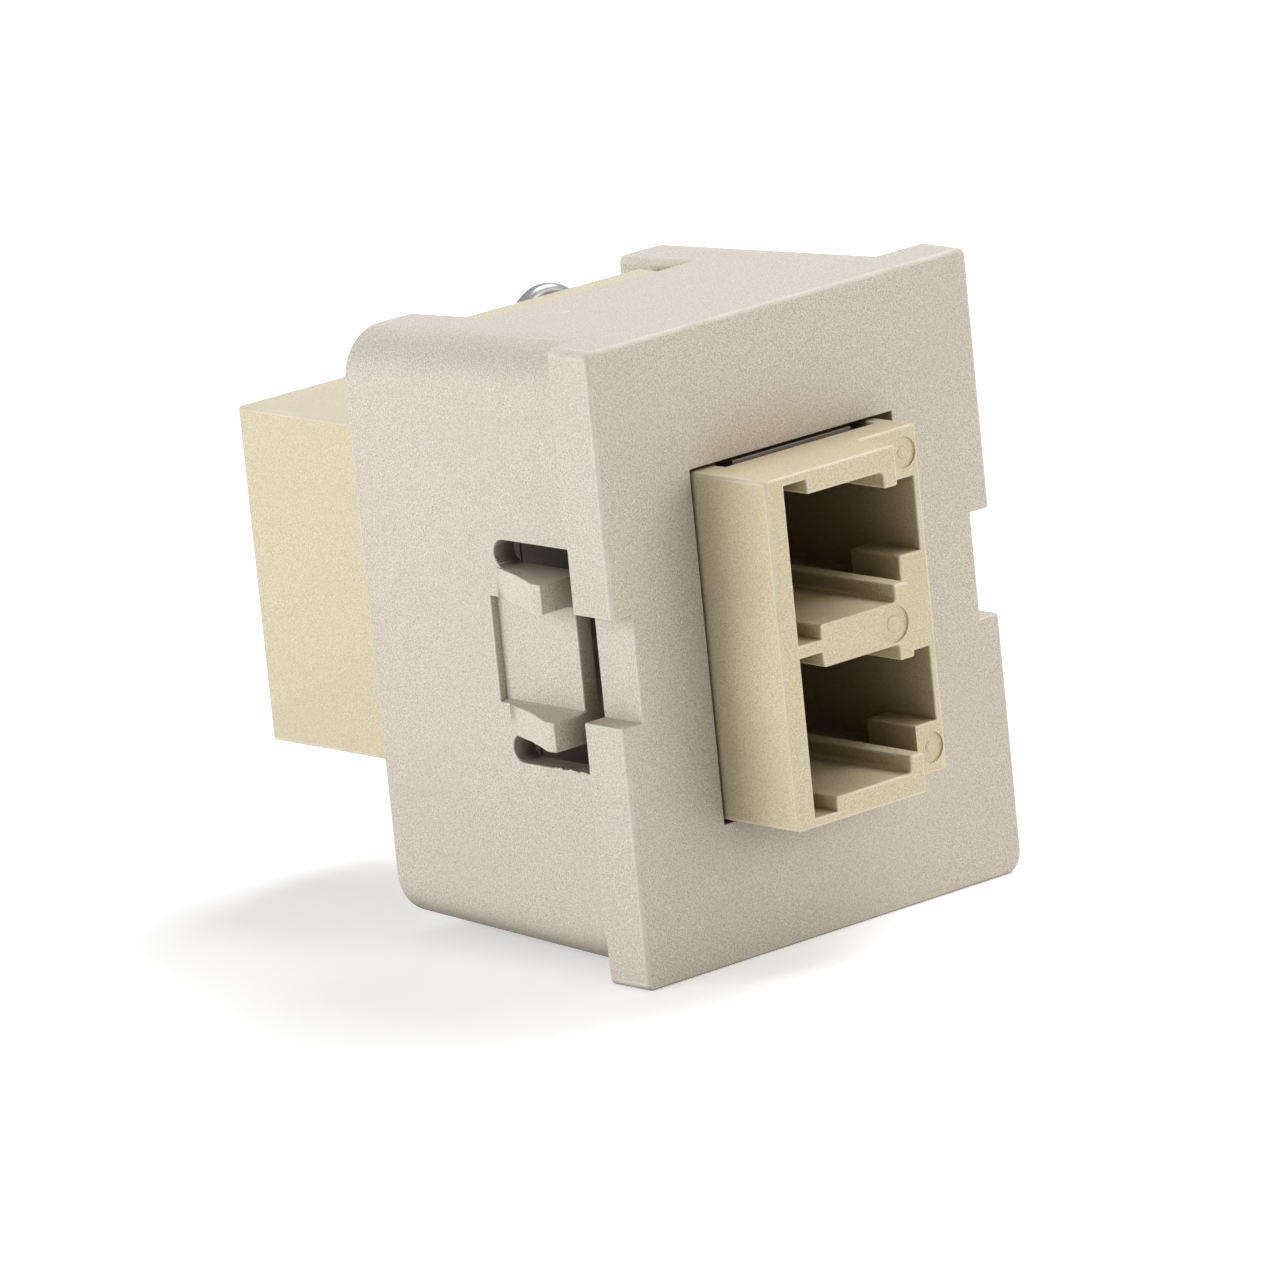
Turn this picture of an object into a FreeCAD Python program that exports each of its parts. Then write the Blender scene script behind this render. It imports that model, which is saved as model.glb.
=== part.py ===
import FreeCAD, Part
import math
import os

# Snap-in outlet module that carries a duplex fibre adapter, its two ports one above the other.
# Millimetres. X runs to the right, Y from the front to the rear, Z up.
# The origin is the centre of the front plate's rear face, which seats on the panel.

# Front plate
plate_width = 18.33
plate_height = 23.13
plate_thickness = 2.05
plate_corner_radius = 0.3
plate_lower_right_radius = 0.75
plate_edge_radius = 0.15
plate_notch_depth = 0.95

# Open-backed box behind the plate, drafted towards the rear in height only
plate_side_lip = 0.64
plate_end_lip = 0.09
box_draft = 0.575
box_overhang = 1.7
box_corner_radius = 1.8
box_wall = 1.0
sink_depth = 0.07
sink_reach = 0.45
notch_edge_radius = 0.3

# Snap latch in each side wall: a tab between two slots, with a ramped ridge along each edge
panel_grip = 1.0
ridge_gap = 3.92
ridge_width = 1.09
ridge_rise = 1.22
ridge_land = 0.5
ridge_hollow = 0.08
tab_slot_height = 1.03
tab_slot_reach = 4.75
recess_overrun = 0.45
recess_draft = 0.09

# Adapter body, one moulded half in front and one behind the parting plane
adapter_left = 4.77
adapter_proud = 3.75
half_length = 14.35
adapter_edge_radius = 0.15
opening_clearance = 0.11

# Plug ports
port_size = 4.71
port_web = 0.48
port_end_wall = 0.335
port_left_wall = 0.89
relief_width = 1.065
relief_depth = 0.53
rail_width = 0.65
rail_height = 0.61
rail_root_radius = 0.15
latch_side_setback = 1.87
catch_inset = 1.4
catch_depth = 1.06
catch_gap = 2.7
catch_length = 2.6
latch_wall = 0.3
bulkhead = 1.2

# Round marks sunk into the mouth by the mould's inserts, one on the web and one beside each end
mark_depth = 0.08
web_mark_diameter = 1.36
web_mark_inset = 0.12
end_mark_diameter = 1.15

# Alignment sleeves and the holders that trap them
ferrule_diameter = 1.25
sleeve_wall = 0.19
sleeve_length = 7.0
sleeve_slit = 0.25
sleeve_radial_clearance = 0.04
sleeve_end_clearance = 0.05
holder_wall = 0.5
holder_lip = 0.4
holder_lip_clearance = 0.155

# Flange shared by both halves, screwed to the housing from behind
flange_side_margin = 0.03
flange_end_margin = 1.6
flange_front_thickness = 0.85
flange_rear_thickness = 1.75
flange_corner_radius = 0.6
flange_notch_clearance = 0.12

# Screws and the bosses they go into
screw_stand_off = 2.755
screw_diameter = 2.0
screw_length = 7.0
screw_tip_length = 0.6
screw_tip_diameter = 0.6
screw_head_overhang = 0.92
screw_head_rim = 0.45
screw_head_bevel = 0.3
screw_head_height = 1.35
screw_recess_width = 0.45
screw_recess_span = 2.0
screw_recess_depth = 0.7
screw_hole_clearance = 0.2
pilot_clearance = 0.02
pilot_runout = 1.8
boss_wall = 0.8

# Spring-steel saddle clip round the adapter's right side
clip_thickness = 0.25
clip_sink = 0.03
clip_setback = 0.15
clip_flange_gap = 1.3
clip_leg_inset = 2.04
clip_bend_radius = 0.25
clip_tip_clearance = 0.06
clip_side_clearance = 0.39
clip_tab_right = 3.0
clip_tab_length = 0.8
pocket_width = 7.2
pocket_reveal = 0.43
tongue_width = 2.8
tongue_root = 1.2
tongue_tail = 2.5
tongue_slope = 0.1087
tongue_slit = 0.3

# Reach of cuts that run right out of the part
far = 60.0

# Places along Y, from the front to the rear
plate_front = -plate_thickness
adapter_front = plate_front - adapter_proud
parting_plane = adapter_front + half_length
flange_front = parting_plane - flange_front_thickness
flange_rear = parting_plane + flange_rear_thickness
box_depth = flange_rear + box_overhang
clip_front = plate_front + clip_setback
clip_rear = flange_front - clip_flange_gap
tongue_lance = clip_front + tongue_root
tongue_tip = clip_rear - tongue_tail
screw_tip = flange_rear - screw_length
recess_reach = tab_slot_reach + recess_overrun

# Places along X, from the left to the right
port_left = port_left_wall - adapter_left
port_right = port_left + port_size
port_axis_x = (port_left + port_right) / 2
rail_right = port_right + rail_width
catch_left = rail_right + catch_inset
slot_right = catch_left + catch_depth
adapter_right = slot_right + latch_wall
clip_left = clip_leg_inset - adapter_left
clip_right = adapter_right + clip_thickness

# Heights and widths
box_width = plate_width - 2 * plate_side_lip
box_front_height = plate_height - 2 * plate_end_lip
box_rear_height = box_front_height - 2 * box_draft
tab_height = ridge_gap + 2 * ridge_width
port_half = port_size / 2
port_pitch = port_size + 2 * relief_depth + port_web
port_heights = {"upper": port_pitch / 2, "lower": -port_pitch / 2}
adapter_half_height = port_pitch / 2 + port_half + relief_depth + port_end_wall
clip_bed = adapter_half_height - clip_thickness - clip_sink
screw_height = adapter_half_height + screw_stand_off
screw_heights = {"upper": screw_height, "lower": -screw_height}
flange_width = 2 * (adapter_left + flange_side_margin)
flange_height = 2 * (screw_height + flange_end_margin)

# Diameters
sleeve_diameter = ferrule_diameter + 2 * sleeve_wall
holder_bore = sleeve_diameter + 2 * sleeve_radial_clearance
holder_diameter = holder_bore + 2 * holder_wall
holder_lip_diameter = ferrule_diameter + 2 * holder_lip_clearance
holder_reach = sleeve_length / 2 + sleeve_end_clearance + holder_lip
screw_head_diameter = screw_diameter + 2 * screw_head_overhang
screw_hole_diameter = screw_diameter + 2 * screw_hole_clearance
pilot_diameter = screw_diameter + 2 * pilot_clearance
boss_diameter = screw_diameter + 2 * boss_wall


def block(x0, x1, y0, y1, z0, z1):
    """A box between two opposite corners."""
    return Part.makeBox(x1 - x0, y1 - y0, z1 - z0, FreeCAD.Vector(x0, y0, z0))


def rod(diameter, x, z, y0, y1):
    """A round bar along Y."""
    return Part.makeCylinder(diameter / 2, y1 - y0, FreeCAD.Vector(x, y0, z), FreeCAD.Vector(0, 1, 0))


def joined(shapes):
    """One solid from several that touch or overlap."""
    return shapes[0].multiFuse(shapes[1:]).removeSplitter()


def outline(corners, y):
    """A closed wire in the plane Y = y. Each corner is (x, z, radius), rounded by a tangent arc."""
    ring = [FreeCAD.Vector(x, y, z) for x, z, _ in corners]
    starts = []
    ends = []
    arcs = []
    for i, point in enumerate(ring):
        radius = corners[i][2]
        back = (ring[i - 1] - point).normalize()
        ahead = (ring[(i + 1) % len(ring)] - point).normalize()
        if radius == 0:
            starts.append(point)
            ends.append(point)
            arcs.append(None)
            continue
        half_angle = back.getAngle(ahead) / 2
        run = radius / math.tan(half_angle)
        first = point + back * run
        last = point + ahead * run
        centre = point + (back + ahead).normalize() * (radius / math.sin(half_angle))
        middle = centre + (point - centre).normalize() * radius
        starts.append(first)
        ends.append(last)
        arcs.append(Part.Arc(first, middle, last).toShape())
    edges = []
    for i in range(len(ring)):
        if arcs[i]:
            edges.append(arcs[i])
        edges.append(Part.LineSegment(ends[i], starts[(i + 1) % len(ring)]).toShape())
    return Part.Wire(edges)


def prism(wire, length):
    """The face inside a wire, carried along Y."""
    return Part.Face(wire).extrude(FreeCAD.Vector(0, length, 0))


def rectangle(width, height, radius, y):
    """A centred rectangle with round corners, in the plane Y = y."""
    x = width / 2
    z = height / 2
    return outline([(-x, -z, radius), (x, -z, radius), (x, z, radius), (-x, z, radius)], y)


def mirrored_x(shape):
    """The shape on the other side of the plane X = 0."""
    return shape.mirror(FreeCAD.Vector(0, 0, 0), FreeCAD.Vector(1, 0, 0))


def mirrored_z(shape):
    """The shape on the other side of the plane Z = 0."""
    return shape.mirror(FreeCAD.Vector(0, 0, 0), FreeCAD.Vector(0, 0, 1))


# Housing


def front_plate():
    """Plate with round corners and a softened front edge, notched in each side between the ridges."""
    x = plate_width / 2
    z = plate_height / 2
    radius = plate_corner_radius
    ring = outline([(-x, -z, radius), (x, -z, plate_lower_right_radius), (x, z, radius), (-x, z, radius)],
                   plate_front)
    plate = prism(ring, plate_thickness)
    front_edges = [e for e in plate.Edges if e.BoundBox.YMax < plate_front + plate_edge_radius / 2]
    plate = plate.makeFillet(plate_edge_radius, front_edges)
    notch = block(x - plate_notch_depth, far, -far, far, -ridge_gap / 2, ridge_gap / 2)
    return plate.cut(notch).cut(mirrored_x(notch))


def box_form(inset):
    """The box's outer form, or its inside at one wall's inset, drafted towards the rear."""
    x = box_width / 2 - inset
    front = box_front_height / 2 - inset
    rear = box_rear_height / 2 - inset
    corners = [(0, -front), (box_depth, -rear), (box_depth, rear), (0, front), (0, -front)]
    side = Part.makePolygon([FreeCAD.Vector(-x, y, z) for y, z in corners])
    form = Part.Face(side).extrude(FreeCAD.Vector(2 * x, 0, 0))
    long_edges = [e for e in form.Edges if e.BoundBox.YLength > box_depth / 2]
    return form.makeFillet(box_corner_radius - inset, long_edges)


def sink_line():
    """Shallow sink along the box's top, deepest where it meets the plate."""
    z = box_front_height / 2
    drop = z - box_draft * sink_reach / box_depth
    corners = [(0, z - sink_depth), (sink_reach, drop), (sink_reach, far), (0, far), (0, z - sink_depth)]
    ring = Part.makePolygon([FreeCAD.Vector(-far, y, height) for y, height in corners])
    return Part.Face(ring).extrude(FreeCAD.Vector(2 * far, 0, 0))


def soft_notch_edges(body, x):
    """The body with the outer edges along the rear notches' side walls rounded."""
    edges = []
    for edge in body.Edges:
        box = edge.BoundBox
        upright = abs(abs(edge.CenterOfMass.x) - x) < notch_edge_radius / 2
        outer = abs(edge.CenterOfMass.z) > box_rear_height / 2 - box_wall / 2
        if upright and outer and box.YLength > box_overhang:
            edges.append(edge)
    return body.makeFillet(notch_edge_radius, edges)


def latch_slots():
    """Cut that frees the left tab on three sides: two round-ended slots and the gap at its front end."""
    inner = box_wall - box_width / 2
    half = tab_slot_height / 2
    centre = tab_slot_reach - half
    low = tab_height / 2
    straight = block(-far, inner, 0, centre, low, low + tab_slot_height)
    end = Part.makeCylinder(half, far + inner, FreeCAD.Vector(-far, centre, low + half),
                            FreeCAD.Vector(1, 0, 0))
    upper = straight.fuse(end)
    gap = block(-far, inner, 0, panel_grip, -low, low)
    return joined([upper, mirrored_z(upper), gap])


def latch_recess():
    """Sunk panel between the two ridges, level with the plate notch's floor, its sides drafted."""
    floor = plate_notch_depth - plate_width / 2
    face = -box_width / 2
    top = ridge_gap / 2
    low = top - recess_draft
    ring = outline([(-far, -top, 0), (face, -top, 0), (floor, -low, 0), (floor, low, 0), (face, top, 0),
                    (-far, top, 0)], panel_grip)
    return prism(ring, recess_reach - panel_grip)


def latch_ridges():
    """Two ridges that ramp outwards to the catch face at the tab's front end."""
    face = -box_width / 2
    crest = face - ridge_rise
    ramp_end = panel_grip + ridge_land
    root = face + box_wall / 2
    z = ridge_gap / 2
    heel = FreeCAD.Vector(face, tab_slot_reach, z)
    sag = FreeCAD.Vector((face + crest) / 2 + ridge_hollow, (tab_slot_reach + ramp_end) / 2, z)
    top = FreeCAD.Vector(crest, ramp_end, z)
    lip = FreeCAD.Vector(crest, panel_grip, z)
    low_front = FreeCAD.Vector(root, panel_grip, z)
    low_rear = FreeCAD.Vector(root, tab_slot_reach, z)
    edges = [Part.Arc(heel, sag, top).toShape(),
             Part.LineSegment(top, lip).toShape(),
             Part.LineSegment(lip, low_front).toShape(),
             Part.LineSegment(low_front, low_rear).toShape(),
             Part.LineSegment(low_rear, heel).toShape()]
    upper = Part.Face(Part.Wire(edges)).extrude(FreeCAD.Vector(0, 0, ridge_width))
    return [upper, mirrored_z(upper)]


def screw_boss(z):
    """Boss from the plate to the flange, tied to the nearest wall by a rib of its own width."""
    half = boss_diameter / 2
    outer = math.copysign(far, z)
    rib = block(-half, half, 0, flange_front, min(z, outer), max(z, outer))
    return rod(boss_diameter, 0, z, 0, flange_front).fuse(rib).common(box_form(box_wall / 2))


def module_housing():
    """Plate, box, latches and bosses as one moulding."""
    shell = box_form(0).cut(box_form(box_wall)).cut(sink_line()).cut(mirrored_z(sink_line()))
    body = joined([front_plate(), shell] + [screw_boss(z) for z in screw_heights.values()])
    for turn in (lambda shape: shape, mirrored_x):
        body = body.cut(turn(latch_slots()))
        body = body.cut(turn(latch_recess()))
        body = joined([body] + [turn(ridge) for ridge in latch_ridges()])
    opening_z = adapter_half_height + opening_clearance
    body = body.cut(block(-adapter_left - opening_clearance, clip_right + clip_side_clearance, -far, 0,
                          -opening_z, opening_z))
    notch_x = flange_width / 2 + flange_notch_clearance
    body = soft_notch_edges(body.cut(block(-notch_x, notch_x, flange_front, far, -far, far)), notch_x)
    for z in screw_heights.values():
        body = body.cut(rod(pilot_diameter, 0, z, screw_tip - pilot_runout, far))
    return body


# Adapter


def port_outline(z, with_catches):
    """Section of one port: square cavity, left reliefs, a rail above and below, latch slot on the right."""
    low = port_half - rail_height
    side = [(port_left, port_half + relief_depth, 0),
            (port_left + relief_width, port_half + relief_depth, 0),
            (port_left + relief_width, port_half, 0),
            (port_right, port_half, rail_root_radius),
            (port_right, low, 0),
            (rail_right, low, 0),
            (rail_right, port_half, 0)]
    if with_catches:
        side += [(catch_left, port_half, 0), (catch_left, catch_gap / 2, 0), (slot_right, catch_gap / 2, 0)]
    else:
        side += [(slot_right, port_half, 0)]
    corners = side + [(x, -up, radius) for x, up, radius in reversed(side)]
    return [(x, z + up, radius) for x, up, radius in corners]


def mould_mark(diameter, x, z, y):
    """Round sinking in the plane Y = y."""
    return rod(diameter, x, z, y, y + mark_depth)


def clip_seat():
    """Recess for the clip's legs and front tab, with the clip's bend radius at the right-hand edges."""
    core = outline([(-far, -clip_bed, 0), (adapter_right, -clip_bed, clip_bend_radius),
                    (adapter_right, clip_bed, clip_bend_radius), (-far, clip_bed, 0)], -far)
    tab_end = clip_front + clip_tab_length
    slab = block(clip_left - clip_tip_clearance, far,
                 tab_end - clip_tip_clearance, clip_rear + clip_tip_clearance, -far, far)
    pocket = block(-pocket_width / 2, pocket_width / 2, plate_front - pocket_reveal, tab_end, -far, far)
    return slab.fuse(pocket).cut(prism(core, 2 * far))


def adapter_half(flange_thickness):
    """One half as it stands in front of the parting plane, from its mouth to that plane."""
    top = adapter_half_height
    radius = adapter_edge_radius
    ring = outline([(-adapter_left, -top, radius), (adapter_right, -top, radius),
                    (adapter_right, top, radius), (-adapter_left, top, radius)], adapter_front)
    sheet = rectangle(flange_width, flange_height, flange_corner_radius, parting_plane - flange_thickness)
    flange = prism(sheet, flange_thickness)
    for z in screw_heights.values():
        flange = flange.cut(rod(screw_hole_diameter, 0, z, -far, far))
    body = joined([prism(ring, half_length), flange])
    setback = adapter_front + latch_side_setback
    body = body.cut(block(rail_right, far, -far, setback, -far, far))
    catch_end = setback + catch_length
    floor = parting_plane - bulkhead / 2
    holder_end = parting_plane - holder_reach
    for z in port_heights.values():
        body = body.cut(prism(outline(port_outline(z, True), adapter_front), catch_end - adapter_front))
        body = body.cut(prism(outline(port_outline(z, False), catch_end), floor - catch_end))
        body = joined([body, rod(holder_diameter, port_axis_x, z, holder_end, parting_plane)])
        body = body.cut(rod(holder_bore, port_axis_x, z, holder_end + holder_lip, parting_plane))
        body = body.cut(rod(holder_lip_diameter, port_axis_x, z, holder_end, parting_plane))
    web_mark_x = rail_right - web_mark_inset - web_mark_diameter / 2
    end_mark_x = (catch_left + adapter_right) / 2
    end_mark_z = (port_pitch / 2 + catch_gap / 2 + adapter_half_height) / 2
    body = body.cut(mould_mark(web_mark_diameter, web_mark_x, 0, adapter_front))
    for z in (end_mark_z, -end_mark_z):
        body = body.cut(mould_mark(end_mark_diameter, end_mark_x, z, setback))
    return body


def turned_behind(half):
    """A half turned about X, so that it faces the rear from the same parting plane."""
    half.rotate(FreeCAD.Vector(0, parting_plane, 0), FreeCAD.Vector(1, 0, 0), 180)
    return half


def alignment_sleeve(z):
    """Split sleeve across the parting plane, slit towards the port's left wall."""
    start = parting_plane - sleeve_length / 2
    end = parting_plane + sleeve_length / 2
    tube = rod(sleeve_diameter, port_axis_x, z, start, end)
    bore = rod(ferrule_diameter, port_axis_x, z, start, end)
    half = sleeve_slit / 2
    slit = block(port_axis_x - sleeve_diameter, port_axis_x, start, end, z - half, z + half)
    return tube.cut(bore).cut(slit)


# Clip and screws


def spring_tongue():
    """Tongue lanced out of the upper leg, rising towards the flange, and the window it leaves."""
    left = (clip_left + adapter_right - tongue_width) / 2
    start = tongue_lance - tongue_root / 2
    rise = tongue_slope * (tongue_tip - tongue_lance)
    under = [(start, clip_bed), (tongue_lance, clip_bed), (tongue_tip, clip_bed + rise)]
    over = [(y, z + clip_thickness) for y, z in reversed(under)]
    ring = Part.makePolygon([FreeCAD.Vector(left, y, z) for y, z in under + over + under[:1]])
    tongue = Part.Face(ring).extrude(FreeCAD.Vector(tongue_width, 0, 0))
    window = block(left - tongue_slit, left + tongue_width + tongue_slit,
                   tongue_lance, tongue_tip + tongue_slit, clip_bed, far)
    return tongue, window


def retaining_clip():
    """U-shaped saddle: a base on the adapter's right face and a leg above and below."""
    outer_radius = clip_bend_radius + clip_thickness
    top = clip_bed + clip_thickness
    ring = outline([(clip_left, -top, 0), (clip_right, -top, outer_radius),
                    (clip_right, top, outer_radius), (clip_left, top, 0),
                    (clip_left, clip_bed, 0), (adapter_right, clip_bed, clip_bend_radius),
                    (adapter_right, -clip_bed, clip_bend_radius), (clip_left, -clip_bed, 0)], clip_front)
    clip = prism(ring, clip_rear - clip_front)
    clip = clip.cut(block(clip_tab_right, far, -far, clip_front + clip_tab_length, -far, far))
    tongue, window = spring_tongue()
    clip = clip.cut(window).cut(mirrored_z(window))
    return joined([clip, tongue, mirrored_z(tongue)])


def flange_screw(z):
    """Pan-head screw along Y: domed head behind the flange, shank into the boss, pointed tip."""
    rim = screw_head_diameter / 2
    shank = screw_diameter / 2
    shoulder = flange_rear + screw_head_rim
    crown = flange_rear + screw_head_height
    dome_height = crown - shoulder
    dome_radius = (rim ** 2 + dome_height ** 2) / (2 * dome_height)
    half_turn = math.asin(rim / dome_radius) / 2
    dome_middle = FreeCAD.Vector(dome_radius * math.sin(half_turn),
                                 crown - dome_radius * (1 - math.cos(half_turn)), 0)
    edges = Part.makePolygon([FreeCAD.Vector(0, crown, 0), FreeCAD.Vector(0, screw_tip, 0),
                              FreeCAD.Vector(screw_tip_diameter / 2, screw_tip, 0),
                              FreeCAD.Vector(shank, screw_tip + screw_tip_length, 0),
                              FreeCAD.Vector(shank, flange_rear, 0),
                              FreeCAD.Vector(rim - screw_head_bevel, flange_rear, 0),
                              FreeCAD.Vector(rim, flange_rear + screw_head_bevel, 0),
                              FreeCAD.Vector(rim, shoulder, 0)]).Edges
    edges.append(Part.Arc(FreeCAD.Vector(rim, shoulder, 0), dome_middle,
                          FreeCAD.Vector(0, crown, 0)).toShape())
    profile = Part.Face(Part.Wire(edges))
    screw = profile.revolve(FreeCAD.Vector(0, 0, 0), FreeCAD.Vector(0, 1, 0), 360)
    arm = screw_recess_span / 2
    slot = screw_recess_width / 2
    floor = crown - screw_recess_depth
    screw = screw.cut(block(-arm, arm, floor, far, -slot, slot))
    screw = screw.cut(block(-slot, slot, floor, far, -arm, arm))
    screw.translate(FreeCAD.Vector(0, 0, z))
    return screw


# Sub-parts

nodes = {
    "module_housing": module_housing(),
    "adapter_front_half": adapter_half(flange_front_thickness).cut(clip_seat()),
    "adapter_rear_half": turned_behind(adapter_half(flange_rear_thickness)),
    "retaining_clip": retaining_clip(),
    "flange_screws": Part.Compound([flange_screw(z) for z in screw_heights.values()]),
}
for place, height in port_heights.items():
    nodes[place + "_alignment_sleeve"] = alignment_sleeve(height)

os.makedirs("parts", exist_ok=True)
for name, shape in nodes.items():
    shape.exportStep("parts/" + name + ".step")
    box = shape.BoundBox
    print(name, "solids", len(shape.Solids), "valid", shape.isValid(), "volume %.2f" % shape.Volume,
          "x %.2f %.2f" % (box.XMin, box.XMax), "y %.2f %.2f" % (box.YMin, box.YMax),
          "z %.2f %.2f" % (box.ZMin, box.ZMax))
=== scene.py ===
import math

import bmesh
import bpy
import numpy as np
from mathutils import Matrix, Vector
from mathutils.bvhtree import BVHTree


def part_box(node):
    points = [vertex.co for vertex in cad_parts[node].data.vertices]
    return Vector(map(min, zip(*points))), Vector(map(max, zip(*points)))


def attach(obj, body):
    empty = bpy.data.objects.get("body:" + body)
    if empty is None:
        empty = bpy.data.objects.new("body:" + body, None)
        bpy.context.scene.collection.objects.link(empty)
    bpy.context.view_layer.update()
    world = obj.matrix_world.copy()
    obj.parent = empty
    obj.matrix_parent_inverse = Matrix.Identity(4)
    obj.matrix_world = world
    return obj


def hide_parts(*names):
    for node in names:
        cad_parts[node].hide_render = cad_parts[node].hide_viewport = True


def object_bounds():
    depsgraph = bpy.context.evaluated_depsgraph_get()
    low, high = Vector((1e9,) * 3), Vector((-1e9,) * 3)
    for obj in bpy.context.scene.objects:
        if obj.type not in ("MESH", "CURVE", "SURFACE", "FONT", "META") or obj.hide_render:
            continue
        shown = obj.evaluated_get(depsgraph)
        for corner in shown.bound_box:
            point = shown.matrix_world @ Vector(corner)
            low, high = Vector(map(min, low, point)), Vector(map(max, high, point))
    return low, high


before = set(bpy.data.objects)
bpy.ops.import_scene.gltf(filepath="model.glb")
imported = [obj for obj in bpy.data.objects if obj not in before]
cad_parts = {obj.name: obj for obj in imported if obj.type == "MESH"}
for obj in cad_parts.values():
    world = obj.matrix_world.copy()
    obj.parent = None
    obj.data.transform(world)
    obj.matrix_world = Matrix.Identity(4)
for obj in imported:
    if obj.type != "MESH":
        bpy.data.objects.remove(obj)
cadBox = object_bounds()
mm = 0.001
print("frame:", len(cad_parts), "nodes")


def toLinear(hexText):
    # sRGB bytes to linear light: a straight foot near black, then a power of 2.4
    s = np.array([int(hexText[i:i + 2], 16) for i in (1, 3, 5)]) / 255
    linear = np.where(s <= 0.04045, s / 12.92, ((s + 0.055) / 1.055) ** 2.4)
    return (*linear.tolist(), 1.0)


def addNode(tree, kind, settings=None, links=None):
    # settings go to sockets by name or number, or else to the node itself; links feed sockets from outputs
    node = tree.nodes.new(kind)
    for key, value in (settings or {}).items():
        if isinstance(key, int) or key in node.inputs:
            node.inputs[key].default_value = value
        else:
            setattr(node, key, value)
    for key, source in (links or {}).items():
        tree.links.new(source, node.inputs[key])
    return node


def ends(side, pair):
    # settings for both ends of one side of a Map Range node
    return {side + " Min": pair[0], side + " Max": pair[1]}


def newMaterial(name):
    material = bpy.data.materials.new(name)
    material.use_nodes = True
    material.node_tree.nodes.clear()
    return material, material.node_tree


mottleSpan = (0.3, 0.7)    # noise levels spread over the two roughness values of a material


def surface(tree, spec, colour, mottle, relief, strength=1.0):
    # the mottle moves the roughness between its two values; the relief is shaded as high as spec says in mm
    dull = addNode(tree, "ShaderNodeMapRange", {**ends("From", mottleSpan), **ends("To", spec["roughness"])},
                   {"Value": mottle})
    bump = addNode(tree, "ShaderNodeBump", {"Strength": strength, "Distance": spec["relief"] * mm},
                   {"Height": relief})
    shader = addNode(tree, "ShaderNodeBsdfPrincipled", spec["body"],
                     {"Base Color": colour, "Roughness": dull.outputs["Result"], "Normal": bump.outputs["Normal"]})
    addNode(tree, "ShaderNodeOutputMaterial", {}, {"Surface": shader.outputs["BSDF"]})


# Common to both plastics. A span is the pair of noise or openness levels at which a share starts and is full
mouldedSkin = {
    "askew": (0.5, 0.3, 0.8),    # radians, turns the grain so that no flat face lies along the noise's own planes
    "grit": 0.05, "gritSpan": (0.32, 0.68),                              # mm
    "cloudSpan": (0.4, 0.75), "cloudShare": 0.35,
    "rubHighlightSize": 1.4, "rubHighlightSpan": (0.35, 0.65), "rubHighlightShare": (0.3, 0.75),    # mm, uneven wear and painted highlight along the rims
    "cornerShadeReach": 4.0, "cornerShadeSpan": (0.95, 0.5), "cornerShadeRays": 8,            # mm, painted shade in open corners
    "shadeFootFade": (-8.5, -6.5),                                           # mm, heights over which the painted corner shade fades out towards the floor
    "deepShadeReach": 12.0, "deepShadeShare": 0.8, "deepShadeRays": 10,                 # mm, heavier painted shade deep inside
}


def grained(tree, spec, place):
    # the tool's fine grain: a noise of the grit's size runs from the dark to the light colour
    grit = addNode(tree, "ShaderNodeTexNoise",
                   {"Scale": 1 / (spec["grit"] * mm), "Detail": 1.5, "Roughness": 0.6}, {"Vector": place})
    speck = addNode(tree, "ShaderNodeMapRange", ends("From", spec["gritSpan"]), {"Value": grit.outputs["Fac"]})
    skin = addNode(tree, "ShaderNodeMix",
                   {"data_type": "RGBA", 6: toLinear(spec["dark"]), 7: toLinear(spec["light"])},
                   {0: speck.outputs["Result"]})
    return grit.outputs["Fac"], skin.outputs[2]


def clouded(tree, spec, clouds, skin):
    # wide soft patches of another tone, left by the flow of the melt
    share = addNode(tree, "ShaderNodeMapRange", {**ends("From", spec["cloudSpan"]), "To Max": spec["cloudShare"]},
                    {"Value": clouds})
    return addNode(tree, "ShaderNodeMix", {"data_type": "RGBA", 7: toLinear(spec["cloud"])},
                   {0: share.outputs["Result"], 6: skin}).outputs[2]


def rubbedAndHighlit(tree, spec, place, skin):
    # edges worn by handling and lit brighter: the rim attribute, made uneven by a noise, turns the skin to the paler
    # rub colour, partly wear and partly painted highlight
    rim = addNode(tree, "ShaderNodeAttribute", {"attribute_name": "rim"})
    patches = addNode(tree, "ShaderNodeTexNoise", {"Scale": 1 / (spec["rubHighlightSize"] * mm), "Detail": 2.0},
                   {"Vector": place})
    uneven = addNode(tree, "ShaderNodeMapRange", {**ends("From", spec["rubHighlightSpan"]), **ends("To", spec["rubHighlightShare"])},
                     {"Value": patches.outputs["Fac"]})
    share = addNode(tree, "ShaderNodeMath", {"operation": "MULTIPLY"},
                    {0: rim.outputs["Fac"], 1: uneven.outputs["Result"]})
    return addNode(tree, "ShaderNodeMix", {"data_type": "RGBA", 7: toLinear(spec["rubHighlight"])},
                   {0: share.outputs[0], 6: skin}).outputs[2]


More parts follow.
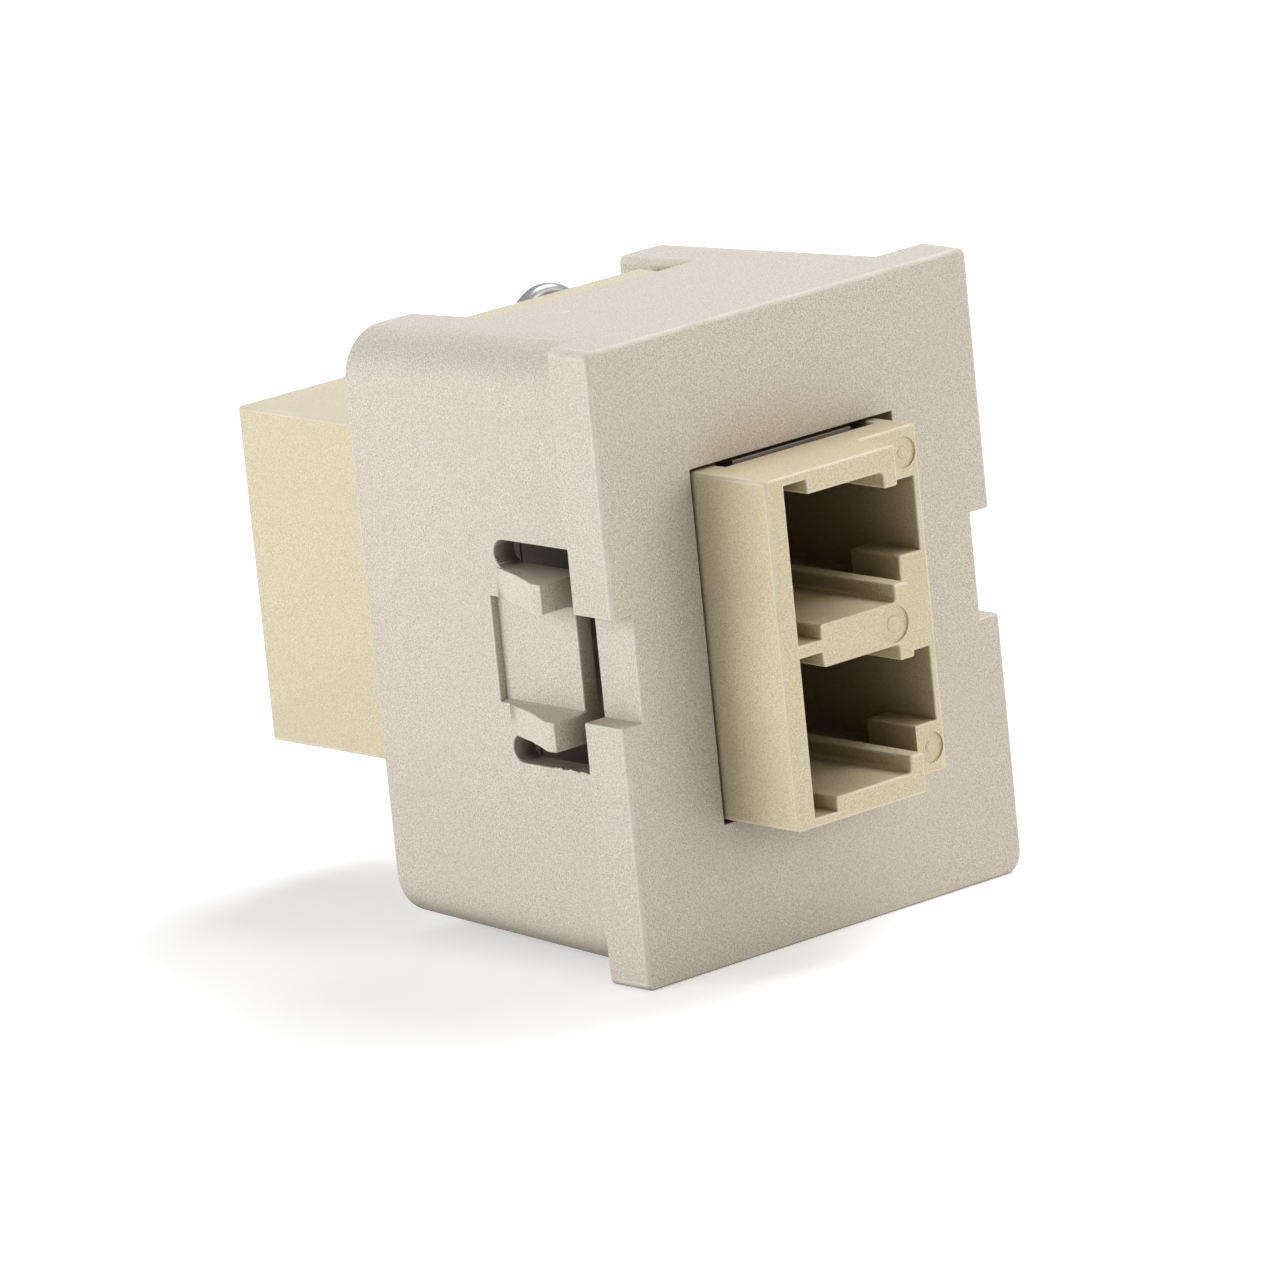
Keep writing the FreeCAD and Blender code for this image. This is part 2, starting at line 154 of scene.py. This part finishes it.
def paintedShade(tree, spec, skin):
    # painted shade: the less open space a place has round it, the darker brown it is drawn, thin in corners and heavy
    # deep inside
    place = addNode(tree, "ShaderNodeTexCoord").outputs["Object"]
    height = addNode(tree, "ShaderNodeSeparateXYZ", {}, {0: place}).outputs["Z"]
    foot = [z * mm for z in spec["shadeFootFade"]]
    above = addNode(tree, "ShaderNodeMapRange", {**ends("From", foot), "To Max": spec["cornerShadeShare"]},
                    {"Value": height})
    nook = addNode(tree, "ShaderNodeAmbientOcclusion",
                   {"samples": spec["cornerShadeRays"], "Distance": spec["cornerShadeReach"] * mm})
    cornerShade = addNode(tree, "ShaderNodeMapRange", ends("From", spec["cornerShadeSpan"]),
                    {"Value": nook.outputs["AO"], "To Max": above.outputs["Result"]})
    inside = addNode(tree, "ShaderNodeAmbientOcclusion",
                     {"samples": spec["deepShadeRays"], "Distance": spec["deepShadeReach"] * mm})
    deepShade = addNode(tree, "ShaderNodeMapRange", {**ends("From", spec["deepShadeSpan"]), "To Max": spec["deepShadeShare"]},
                   {"Value": inside.outputs["AO"]})
    for paintedDark in (cornerShade, deepShade):
        skin = addNode(tree, "ShaderNodeMix", {"data_type": "RGBA", 7: toLinear(spec["paintedDark"])},
                       {0: paintedDark.outputs["Result"], 6: skin}).outputs[2]
    return skin


# ABS, moulded against a spark-eroded tool: a dry bone-coloured skin with a fine even grain that breaks up the gloss.
# The real grit is about 0.03 mm; it is drawn at 0.05 mm so that it shows. Corners and deep places are darkened brown:
# painted shade.
bonePlastic = {
    **mouldedSkin,
    "light": "#fbf1e2", "dark": "#beb4a1", "cloud": "#d9cfbd", "rubHighlight": "#f6eee0", "paintedDark": "#5c4c35",
    "cloudSize": 6.0, "relief": 0.008,                          # mm
    "pit": 0.2, "pitShare": 0.5,                                # mm, wider pits and their weight beside the grit
    "burnt": "#8a7c68", "burntSize": 0.035, "burntGap": 1.4,    # mm, specks of burnt plastic in the melt
    "burntShare": 0.8,
    "deepShadeSpan": (0.38, 0.08), "cornerShadeShare": 0.22,
    "roughness": (0.46, 0.64), "body": {"IOR": 1.54},
}


def boneAbs(spec):
    material, tree = newMaterial("ABS_moulded_spark_eroded_bone")
    place = addNode(tree, "ShaderNodeTexCoord").outputs["Object"]
    place = addNode(tree, "ShaderNodeMapping", {"Rotation": spec["askew"]}, {"Vector": place}).outputs["Vector"]
    grit, skin = grained(tree, spec, place)
    burnt = addNode(tree, "ShaderNodeTexVoronoi", {"Scale": 1 / (spec["burntGap"] * mm)}, {"Vector": place})
    edge = spec["burntSize"] / spec["burntGap"]    # a speck is full at half its radius
    burnt = addNode(tree, "ShaderNodeMapRange", {**ends("From", (edge, edge / 2)), "To Max": spec["burntShare"]},
                    {"Value": burnt.outputs["Distance"]})
    skin = addNode(tree, "ShaderNodeMix", {"data_type": "RGBA", 7: toLinear(spec["burnt"])},
                   {0: burnt.outputs["Result"], 6: skin}).outputs[2]
    clouds = addNode(tree, "ShaderNodeTexNoise", {"Scale": 1 / (spec["cloudSize"] * mm), "Detail": 2.0},
                     {"Vector": place})
    skin = clouded(tree, spec, clouds.outputs["Fac"], skin)
    # edges get wear and a painted highlight; corners and deep places get painted shade
    skin = paintedShade(tree, spec, rubbedAndHighlit(tree, spec, place, skin))
    pits = addNode(tree, "ShaderNodeTexNoise", {"Scale": 1 / (spec["pit"] * mm), "Detail": 1.0}, {"Vector": place})
    relief = addNode(tree, "ShaderNodeMath", {"operation": "MULTIPLY_ADD", 1: spec["pitShare"]},
                     {0: pits.outputs["Fac"], 2: grit})
    surface(tree, spec, skin, grit, relief.outputs[0])
    return material


# PBT, moulded against a blasted tool: a beige satin, smoother than the housing, with faint flow clouds.
# The blasting is about 0.03 mm; it is drawn at 0.05 mm so that it shows. Corners and deep places are darkened brown:
# painted shade.
beigePlastic = {
    **mouldedSkin,
    "light": "#fbecc9", "dark": "#d0c19b", "cloud": "#e1d2a9", "rubHighlight": "#f8edd4", "paintedDark": "#655639",
    "cloudSize": 2.5, "relief": 0.006,    # mm
    "cloudStretch": 0.25,                 # less than 1 draws the clouds out along the fill
    "deepShadeSpan": (0.26, 0.08), "cornerShadeShare": 0.14,
    "roughness": (0.34, 0.48), "body": {"IOR": 1.56},
}


def beigePbt(spec):
    material, tree = newMaterial("PBT_moulded_satin_beige")
    place = addNode(tree, "ShaderNodeTexCoord").outputs["Object"]
    along = addNode(tree, "ShaderNodeMapping", {"Scale": (1.0, spec["cloudStretch"], 1.0)}, {"Vector": place})
    place = addNode(tree, "ShaderNodeMapping", {"Rotation": spec["askew"]}, {"Vector": place}).outputs["Vector"]
    grit, skin = grained(tree, spec, place)
    clouds = addNode(tree, "ShaderNodeTexNoise",
                     {"Scale": 1 / (spec["cloudSize"] * mm), "Detail": 3.0, "Distortion": 0.6},
                     {"Vector": along.outputs["Vector"]})
    skin = clouded(tree, spec, clouds.outputs["Fac"], skin)
    # edges get wear and a painted highlight; corners and deep places get painted shade
    skin = paintedShade(tree, spec, rubbedAndHighlit(tree, spec, place, skin))
    surface(tree, spec, skin, grit, grit)
    return material


# Spring steel, cold rolled: grey, with fine lines along the strip that stretch the highlights
clipSteel = {
    "colour": "#948d84", "lineColour": "#655e56",
    "line": 0.05, "lineLength": 3.0, "relief": 0.002,    # mm
    "roughness": (0.45, 0.65), "body": {"Metallic": 1.0},
}


def rolledSteel(spec):
    material, tree = newMaterial("Spring_steel_cold_rolled")
    place = addNode(tree, "ShaderNodeTexCoord").outputs["Object"]
    strip = addNode(tree, "ShaderNodeMapping", {"Scale": (spec["line"] / spec["lineLength"], 1.0, 1.0)},
                    {"Vector": place})
    lines = addNode(tree, "ShaderNodeTexNoise", {"Scale": 1 / (spec["line"] * mm), "Detail": 3.0},
                    {"Vector": strip.outputs["Vector"]}).outputs["Fac"]
    colour = addNode(tree, "ShaderNodeMix",
                     {"data_type": "RGBA", 6: toLinear(spec["colour"]), 7: toLinear(spec["lineColour"])}, {0: lines})
    surface(tree, spec, colour.outputs[2], lines, lines)
    return material


# Steel, barrel plated with bright zinc: a cool mirror with cloudy patches and small dings from tumbling
screwZinc = {
    "colour": "#aaaaa9", "cloudColour": "#727373",
    "cloud": 0.7, "ding": 0.16, "relief": 0.004,    # mm
    "dingStrength": 0.6,
    "roughness": (0.22, 0.38), "body": {"Metallic": 1.0},
}


def platedZinc(spec):
    material, tree = newMaterial("Steel_bright_zinc_plated")
    place = addNode(tree, "ShaderNodeTexCoord").outputs["Object"]
    cloud = addNode(tree, "ShaderNodeTexNoise", {"Scale": 1 / (spec["cloud"] * mm), "Detail": 3.0},
                    {"Vector": place}).outputs["Fac"]
    ding = addNode(tree, "ShaderNodeTexNoise", {"Scale": 1 / (spec["ding"] * mm), "Detail": 1.0},
                   {"Vector": place}).outputs["Fac"]
    colour = addNode(tree, "ShaderNodeMix",
                     {"data_type": "RGBA", 6: toLinear(spec["colour"]), 7: toLinear(spec["cloudColour"])}, {0: cloud})
    surface(tree, spec, colour.outputs[2], cloud, ding, spec["dingStrength"])
    return material


# Zirconia, ground and polished: dense white with a wet gloss and grinding rings round the tube
sleeveCeramic = {
    "colour": "#f1efe8", "ringColour": "#e6e3d9",
    "ring": 0.06, "relief": 0.0008,    # mm
    "ringStretch": 0.05,               # less than 1 draws the rings out across the tube's axis
    "roughness": (0.10, 0.20), "body": {"IOR": 2.15},
}


def groundZirconia(spec):
    material, tree = newMaterial("Zirconia_ground_polished")
    place = addNode(tree, "ShaderNodeTexCoord").outputs["Object"]
    across = addNode(tree, "ShaderNodeMapping", {"Scale": (spec["ringStretch"], 1.0, spec["ringStretch"])},
                     {"Vector": place})
    rings = addNode(tree, "ShaderNodeTexNoise", {"Scale": 1 / (spec["ring"] * mm), "Detail": 2.0},
                    {"Vector": across.outputs["Vector"]}).outputs["Fac"]
    colour = addNode(tree, "ShaderNodeMix",
                     {"data_type": "RGBA", 6: toLinear(spec["colour"]), 7: toLinear(spec["ringColour"])}, {0: rings})
    surface(tree, spec, colour.outputs[2], rings, rings)
    return material


finishes = {
    "housing_plastic": boneAbs(bonePlastic),
    "adapter_plastic": beigePbt(beigePlastic),
    "spring_steel": rolledSteel(clipSteel),
    "plated_screw": platedZinc(screwZinc),
    "sleeve_ceramic": groundZirconia(sleeveCeramic),
}
print("materials:", ", ".join(m.name for m in finishes.values()))


def addPiece(name, mesh, slot):
    piece = bpy.data.objects.new(name, mesh)
    bpy.context.scene.collection.objects.link(piece)
    mesh.materials.append(finishes[slot])
    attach(piece, "root")
    return piece


# Each moulding and pressing with its outer edges rounded as the tool leaves them; rim is the round's width in mm
mouldings = {
    "housingMoulding": {"node": "module_housing", "slot": "housing_plastic", "rim": 0.06, "steps": 3},
    "adapterFrontMoulding": {"node": "adapter_front_half", "slot": "adapter_plastic", "rim": 0.09, "steps": 3},
    "adapterRearMoulding": {"node": "adapter_rear_half", "slot": "adapter_plastic", "rim": 0.09, "steps": 3},
    "clipStrip": {"node": "retaining_clip", "slot": "spring_steel", "rim": 0.04, "steps": 2},
}
weldGap = 0.002                 # mm, corners nearer than this are one corner
flatTurn = math.radians(0.5)    # faces that turn less than this are one face
sharpTurn = math.radians(50)    # edges that turn more than this are rounded
crispTurn = math.radians(27)    # other edges that turn more than this stay crisp, less is part of a curve
rimsApart = 2.2                 # a face needs this many rims of width to have its edges rounded
rayShares = (0.1, 0.5, 0.9)     # places along an edge where that width is measured
smallRound = 0.35               # mm, outward curves tighter than this get the rims' wear and painted highlight


def roomAcross(tree, edge, reach):
    # free width of the two faces beside an edge: rays run straight away from it, just over and just under each face
    least = reach
    for loop in edge.link_loops:
        start, end = loop.vert.co, loop.link_loop_next.vert.co
        inward = loop.face.normal.cross(end - start).normalized()
        for share in rayShares:
            foot = start.lerp(end, share) + inward * weldGap
            for lift in (-weldGap, weldGap):
                length = tree.ray_cast(foot + loop.face.normal * lift, inward, reach)[3]
                least = min(least, length if length is not None else reach)
    return least


def onSmallRound(face):
    # a strip of an outward curve: its width over the turn at its long edge is the curve's radius
    edge = max(face.edges, key=lambda e: e.calc_length())
    turn = edge.calc_face_angle(0)
    width = face.calc_area() / edge.calc_length()
    return edge.is_convex and flatTurn < turn < crispTurn and width < smallRound * turn


def roundedCopy(name, spec):
    # worked in mm: triangles merged into flat faces, then every sharp outward edge cut back to a round
    bm = bmesh.new()
    bm.from_mesh(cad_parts[spec["node"]].data)
    # faces marked in this layer are drawn in the rub colour: wear and painted highlight
    rim = bm.faces.layers.float.new("rim")
    bmesh.ops.scale(bm, vec=(1 / mm,) * 3, verts=bm.verts)
    bmesh.ops.remove_doubles(bm, verts=bm.verts, dist=weldGap)
    bmesh.ops.dissolve_limit(bm, angle_limit=flatTurn, verts=bm.verts, edges=bm.edges)
    bm.normal_update()
    tree = BVHTree.FromBMesh(bm)
    reach = rimsApart * spec["rim"]
    rims = [e for e in bm.edges if e.is_manifold and e.is_convex and e.calc_face_angle() > sharpTurn
            and roomAcross(tree, e, reach) >= reach]
    rounds = bmesh.ops.bevel(bm, geom=rims, offset=spec["rim"], offset_type="OFFSET", segments=spec["steps"],
                             profile=0.5, affect="EDGES", clamp_overlap=False, loop_slide=False)
    for face in rounds["faces"]:
        face[rim] = 1.0
    for face in bm.faces:
        face[rim] = max(face[rim], float(onSmallRound(face)))
        face.smooth = True
    for edge in bm.edges:
        onRim = any(face[rim] for face in edge.link_faces)
        edge.smooth = edge.calc_face_angle(0) < (sharpTurn if onRim else crispTurn)
    bmesh.ops.scale(bm, vec=(mm,) * 3, verts=bm.verts)
    mesh = bpy.data.meshes.new(name)
    bm.to_mesh(mesh)
    bm.free()
    piece = addPiece(name, mesh, spec["slot"])
    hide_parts(spec["node"])
    even = piece.modifiers.new("even shading", "WEIGHTED_NORMAL")
    even.keep_sharp = True
    return piece


for name, spec in mouldings.items():
    piece = roundedCopy(name, spec)
    print("piece:", name, len(piece.data.polygons), "faces")

poleGap = 0.0002    # mm, corners of a new surface nearer than this are one corner


def gridMesh(name, points):
    # rows x columns x 3 in mm; the last column joins the first, rows that shrink to a point become poles
    rows, columns = points.shape[:2]
    index = np.arange(rows * columns).reshape(rows, columns)
    index = np.hstack([index, index[:, :1]])
    quads = np.stack([index[:-1, :-1], index[1:, :-1], index[1:, 1:], index[:-1, 1:]], axis=-1)
    mesh = bpy.data.meshes.new(name)
    mesh.from_pydata((points.reshape(-1, 3) * mm).tolist(), [], quads.reshape(-1, 4).tolist())
    bm = bmesh.new()
    bm.from_mesh(mesh)
    bmesh.ops.remove_doubles(bm, verts=bm.verts, dist=poleGap * mm)
    bmesh.ops.recalc_face_normals(bm, faces=bm.faces)
    bm.to_mesh(mesh)
    bm.free()
    mesh.shade_smooth()
    mesh.set_sharp_from_angle(angle=sharpTurn)
    return mesh


def soften(value):
    # 0 below 0, 1 above 1, with a smooth step between
    t = np.clip(value, 0.0, 1.0)
    return t * t * (3 - 2 * t)


# Split sleeves: a wall section with round corners, swept round the axis from one lip of the slit to the other
splitSleeves = {
    "nodes": {"upperSleeve": "upper_alignment_sleeve", "lowerSleeve": "lower_alignment_sleeve"},
    "wall": 0.19, "slit": 0.25, "rim": 0.04,    # mm
    "sweepRows": 96, "rimSteps": 5,
}


def sleevePiece(name, node, spec):
    low, high = (np.array(corner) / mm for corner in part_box(node))
    outer = (high[2] - low[2]) / 2
    axisX, axisZ = high[0] - outer, (high[2] + low[2]) / 2
    # section: a quarter round at each of the four corners of wall by length
    rim, steps = spec["rim"], spec["rimSteps"]
    turn = (np.linspace(0, math.pi / 2, steps) + np.arange(4)[:, None] * math.pi / 2).ravel()
    across = np.repeat([1, -1, -1, 1], steps) * (spec["wall"] / 2 - rim) + rim * np.cos(turn)
    along = np.repeat([1, 1, -1, -1], steps) * ((high[1] - low[1]) / 2 - rim) + rim * np.sin(turn)
    # half a turn less half the slit each way; the first and last rows shrink to the section's middle and close the lips
    lip = math.pi - math.asin(spec["slit"] / 2 / outer)
    sweep = np.linspace(-lip, lip, spec["sweepRows"])[:, None]
    sweep = np.concatenate([sweep[:1], sweep, sweep[-1:]])
    full = np.ones_like(sweep)
    full[[0, -1]] = 0
    radius = outer - spec["wall"] / 2 + across * full
    points = np.stack([axisX + radius * np.cos(sweep), (high[1] + low[1]) / 2 + along * full,
                       axisZ + radius * np.sin(sweep)], axis=-1)
    piece = addPiece(name, gridMesh(name, points), "sleeve_ceramic")
    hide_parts(node)
    return piece


for name, node in splitSleeves["nodes"].items():
    piece = sleevePiece(name, node, splitSleeves)
    print("piece:", name, len(piece.data.polygons), "faces")


# Flange screws: rolled head, cross recess with sloping walls, thread on the shank. Lengths in mm
flangeScrew = {
    "shank": 1.0, "core": 0.76, "pitch": 0.79, "tipRadius": 0.3, "tipLength": 0.6,
    "plainNeck": 0.6, "runOut": 0.3,    # bare length under the head, and the length over which the thread dies out
    "grooveSpread": 1.3,                # more than 1 widens the floor of the groove
    "headRim": 0.45, "roll": 0.3, "headHeight": 1.35,
    "wing": 0.24, "wingReach": 1.0, "recess": 0.7, "recessSlope": 0.12,
    "columns": 160, "threadRows": 150, "rollRows": 9, "domeRows": 70,
}


def screwPair(spec):
    low, high = (np.array(corner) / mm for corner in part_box("flange_screws"))
    head = (high[0] - low[0]) / 2
    seat = high[1] - spec["headHeight"]
    crown = high[1]
    rise = spec["headHeight"] - spec["headRim"]
    domeRadius = (head ** 2 + rise ** 2) / (2 * rise)    # of the ball whose cap has the head's radius and this rise
    # the profile, from the tip's middle to the crown's: radius and place along the screw
    threadEnd = low[1] + spec["tipLength"]
    shankY = np.linspace(threadEnd, seat, spec["threadRows"])
    rollTurn = np.linspace(-math.pi / 2, 0, spec["rollRows"])
    domeR = np.linspace(head, 0, spec["domeRows"])
    radius = np.concatenate([[0, spec["tipRadius"]], np.full(len(shankY), spec["shank"]),
                             head + spec["roll"] * (np.cos(rollTurn) - 1), domeR])
    along = np.concatenate([[low[1], low[1]], shankY, seat + spec["roll"] * (1 + np.sin(rollTurn)),
                            crown - domeRadius + np.sqrt(domeRadius ** 2 - domeR ** 2)])
    turn = np.linspace(0, 2 * math.pi, spec["columns"], endpoint=False)
    radius, turn = np.meshgrid(radius, turn, indexing="ij")
    along = np.repeat(along[:, None], spec["columns"], axis=1)
    # thread: the shank sinks to its core between crests that climb one pitch per turn, and runs out under the head
    phase = (along - threadEnd) / spec["pitch"] - turn / (2 * math.pi)
    groove = 1 - np.abs(2 * (phase % 1) - 1)
    onShank = np.zeros(len(radius))
    onShank[2:2 + len(shankY)] = soften((seat - spec["plainNeck"] - shankY) / spec["runOut"])
    depth = spec["shank"] - spec["core"]
    radius = radius - depth * soften(groove * spec["grooveSpread"]) * onShank[:, None]
    # recess: two crossing wings sunk into the dome, their walls sloping over recessSlope
    across, up = radius * np.cos(turn), radius * np.sin(turn)
    inside = soften((spec["wing"] - np.minimum(abs(across), abs(up))) / spec["recessSlope"])
    inside = inside * soften((spec["wingReach"] - np.maximum(abs(across), abs(up))) / spec["recessSlope"])
    onDome = np.zeros(len(radius))
    onDome[-spec["domeRows"]:] = 1
    floor = crown - spec["recess"]
    along = along - np.maximum(along - floor, 0) * inside * onDome[:, None]
    one = np.stack([across, along, up], axis=-1)
    height = high[2] - head
    meshes = [gridMesh("flangeScrew", one + np.array([0, 0, z])) for z in (height, -height)]
    bm = bmesh.new()
    for mesh in meshes:
        bm.from_mesh(mesh)
        bpy.data.meshes.remove(mesh)
    pair = bpy.data.meshes.new("flangeScrewPair")
    bm.to_mesh(pair)
    bm.free()
    piece = addPiece("flangeScrewPair", pair, "plated_screw")
    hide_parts("flange_screws")
    return piece


piece = screwPair(flangeScrew)
print("piece:", piece.name, len(piece.data.polygons), "faces")

# Low domes left by the tool: the broken gate on the housing's top, and a plain pad in each round mark of the mouth
plainPad = {"slot": "adapter_plastic", "facing": (0, -1, 0), "height": 0.06, "fall": 0.5, "rough": 0.06, "pale": 0.0}
toolMarks = {
    "gateStub": {"slot": "housing_plastic", "middle": (-3.63, 5.4, 11.216), "facing": (0, 0.048, 1),
                 "radius": 0.28, "height": 0.08, "fall": 2.0, "rough": 0.3, "pale": 1.0},
    "webMarkPad": {**plainPad, "middle": (0.68, -5.72, 0.0), "radius": 0.3},
    "upperMarkPad": {**plainPad, "middle": (3.56, -3.85, 5.41), "radius": 0.23},
    "lowerMarkPad": {**plainPad, "middle": (3.56, -3.85, -5.41), "radius": 0.23},
}
dome = {
    "rows": 14, "columns": 48, "root": 0.05,    # mm, sunk into what carries the dome
    "lobes": (3, 5), "lead": 1, "ripple": 7,    # waves round the dome, their start and those across it in radians
}


def toolMark(name, spec):
    # height falls from the middle as a power of one minus the radius squared, with a few waves as torn plastic has
    share = np.linspace(1, 0, dome["rows"])[:, None]
    turn = np.linspace(0, 2 * math.pi, dome["columns"], endpoint=False)[None, :]
    few, more = dome["lobes"]
    waves = np.sin(few * turn + dome["lead"]) * np.cos(dome["ripple"] * share) + np.sin(more * turn) * share
    height = spec["height"] * (1 - share ** 2) ** spec["fall"] * (1 + spec["rough"] * waves * share)
    reach = spec["radius"] * share * np.ones_like(turn)
    # a flat foot closes it below
    height = np.concatenate([np.full((2, dome["columns"]), -dome["root"]), height])
    reach = np.concatenate([np.zeros((1, dome["columns"])), reach[:1], reach])
    up = Vector(spec["facing"]).normalized()
    side = up.orthogonal().normalized()
    axes = np.array([side, up.cross(side), up])
    points = np.stack([reach * np.cos(turn), reach * np.sin(turn), height], axis=-1) @ axes
    mesh = gridMesh(name, points + np.array(spec["middle"]))
    pale = mesh.attributes.new("rim", "FLOAT", "FACE")    # torn plastic takes the rims' pale colour, which is wear and painted highlight
    pale.data.foreach_set("value", np.full(len(mesh.polygons), spec["pale"], np.float32))
    return addPiece(name, mesh, spec["slot"])


for name, spec in toolMarks.items():
    piece = toolMark(name, spec)
    print("piece:", name, len(piece.data.polygons), "faces")

# Flash: a thin torn fin along the lower slot's edge, where the two sides of the tool met
slotFlash = {
    "slot": "housing_plastic",
    "side": 8.495, "edge": -4.08, "run": (0.9, 2.7), "thick": 0.03, "tall": 0.075,    # mm
    "swell": (0.45, 0.3, 0.25),                    # shares of the even height, the slow wave and the quick one
    "waves": (17, 41), "lead": 1, "endFall": 0.5,  # both waves over the run and the quick one's start in radians
    "rows": 60, "columns": 16,
}


def flashFin(name, spec):
    # an ellipse carried along the edge; its height swells in a slow and a quick wave and dies out at both ends
    share = np.linspace(0, 1, spec["rows"])[:, None]
    turn = np.linspace(0, 2 * math.pi, spec["columns"], endpoint=False)[None, :]
    even, slow, quick = spec["swell"]
    slowWave, quickWave = spec["waves"]
    swell = even + slow * np.sin(slowWave * share) + quick * np.sin(quickWave * share + spec["lead"])
    swell = np.sin(math.pi * share) ** spec["endFall"] * swell
    low, high = spec["run"]
    points = np.stack([-spec["side"] + spec["thick"] * np.sin(math.pi * share) * np.cos(turn),
                       low + (high - low) * share * np.ones_like(turn),
                       spec["edge"] + spec["tall"] * swell * np.sin(turn)], axis=-1)
    return addPiece(name, gridMesh(name, points), spec["slot"])


piece = flashFin("lowerSlotFlash", slotFlash)
print("piece:", piece.name, len(piece.data.polygons), "faces")


def seenDirectly(tree):
    # 1 for rays from the camera, off a gloss or through glass, 0 for rays that only carry light
    path = addNode(tree, "ShaderNodeLightPath")
    seen = path.outputs["Is Camera Ray"]
    for kind in ("Is Glossy Ray", "Is Transmission Ray"):
        seen = addNode(tree, "ShaderNodeMath", {"operation": "MAXIMUM"}, {0: seen, 1: path.outputs[kind]}).outputs[0]
    return seen


# Floor that is white to the eye where it is lit, keeps the object's shadow, and fades to plain white further out
floorSpec = {
    "reach": 1500, "fade": (30, 90),    # mm
    "colour": "#f6f6f6", "lift": (0.45, 0.9),
}


def paleFloor(spec):
    reach = spec["reach"] * mm
    low = cadBox[0].z
    mesh = bpy.data.meshes.new("paleFloor")
    corners = [(-reach, -reach, low), (reach, -reach, low), (reach, reach, low), (-reach, reach, low)]
    mesh.from_pydata(corners, [], [(0, 1, 2, 3)])
    material, tree = newMaterial("Card_pale_matte")
    place = addNode(tree, "ShaderNodeTexCoord").outputs["Object"]
    away = addNode(tree, "ShaderNodeVectorMath", {"operation": "LENGTH"}, {0: place})
    fade = addNode(tree, "ShaderNodeMapRange",
                   {**ends("From", [far * mm for far in spec["fade"]]), **ends("To", spec["lift"])},
                   {"Value": away.outputs["Value"]})
    lift = addNode(tree, "ShaderNodeMath", {"operation": "MULTIPLY"},
                   {0: seenDirectly(tree), 1: fade.outputs["Result"]})
    card = addNode(tree, "ShaderNodeBsdfDiffuse", {"Color": toLinear(spec["colour"])})
    glow = addNode(tree, "ShaderNodeEmission", {}, {"Strength": lift.outputs[0]})
    both = addNode(tree, "ShaderNodeAddShader", {}, {0: card.outputs[0], 1: glow.outputs[0]})
    addNode(tree, "ShaderNodeOutputMaterial", {}, {"Surface": both.outputs[0]})
    mesh.materials.append(material)
    floor = bpy.data.objects.new("paleFloor", mesh)
    bpy.context.scene.collection.objects.link(floor)


# Softboxes: direction to each lamp; level 1 lights a card that faces the lamp to white
studio = {
    "keySoftbox": {"towards": (-0.86, 0.43, 0.27), "level": 0.63, "tint": "#fafcff"},
    "topSoftbox": {"towards": (0.55, 0.02, 0.83), "level": 0.79, "tint": "#f3f6ff"},
    "rightFill": {"towards": (0.56, -0.76, 0.33), "level": 0.25, "tint": "#fffdf4"},
    "frontFill": {"towards": (0.05, -0.98, 0.12), "level": 0.19, "tint": "#fffdf4"},
}
lampDistance, lampWidth = 420, 260                   # mm
room = {"front": 0.03, "rear": 0.15, "turn": 0.6}    # levels of the room's own light, and how far the change reaches


def softbox(name, spec):
    # the power is the level times the square of pi times the distance
    towards = Vector(spec["towards"]).normalized()
    lamp = bpy.data.lights.new(name, "AREA")
    lamp.size = lampWidth * mm
    lamp.energy = spec["level"] * (math.pi * lampDistance * mm) ** 2
    lamp.color = toLinear(spec["tint"])[:3]
    holder = bpy.data.objects.new(name, lamp)
    facing = towards.to_track_quat("Z", "Y").to_matrix().to_4x4()
    holder.matrix_world = Matrix.Translation(towards * lampDistance * mm) @ facing
    bpy.context.scene.collection.objects.link(holder)


def whiteRoom(spec):
    # plain white where it is seen; as a light it is dim in front and paler behind
    world = bpy.data.worlds.new("whiteRoom")
    world.use_nodes = True
    tree = world.node_tree
    tree.nodes.clear()
    towards = addNode(tree, "ShaderNodeTexCoord").outputs["Generated"]
    axes = addNode(tree, "ShaderNodeSeparateXYZ", {}, {0: towards})
    level = addNode(tree, "ShaderNodeMapRange",
                    {"interpolation_type": "SMOOTHSTEP", **ends("From", (-spec["turn"], spec["turn"])),
                     **ends("To", (spec["front"], spec["rear"]))}, {"Value": axes.outputs["Y"]})
    strength = addNode(tree, "ShaderNodeMath", {"operation": "MAXIMUM"},
                       {0: seenDirectly(tree), 1: level.outputs["Result"]})
    back = addNode(tree, "ShaderNodeBackground", {"Color": (1, 1, 1, 1)}, {"Strength": strength.outputs[0]})
    addNode(tree, "ShaderNodeOutputWorld", {}, {"Surface": back.outputs[0]})
    bpy.context.scene.world = world


paleFloor(floorSpec)
for name, spec in studio.items():
    softbox(name, spec)
whiteRoom(room)
bpy.context.scene.view_settings.view_transform = "Standard"
print("stage: floor,", ", ".join(studio))

# Long-lens camera, rolled a little: its place in mm and the directions of its right, up and back
cameraSpec = {
    "place": (-273.399, -310.890, 97.148),
    "right": (0.7395901, -0.6659681, -0.0974315),
    "up": (0.2249341, 0.1081293, 0.9683557),
    "back": (-0.6343588, -0.7381020, 0.2297703),
    "lens": 335.55,
}
camera = bpy.data.objects.new("longLens", bpy.data.cameras.new("longLens"))
camera.data.lens = cameraSpec["lens"]
turn = Matrix([cameraSpec["right"], cameraSpec["up"], cameraSpec["back"]]).transposed().to_4x4()
camera.matrix_world = Matrix.Translation(Vector(cameraSpec["place"]) * mm) @ turn
bpy.context.scene.collection.objects.link(camera)
bpy.context.scene.camera = camera
print("camera: set")
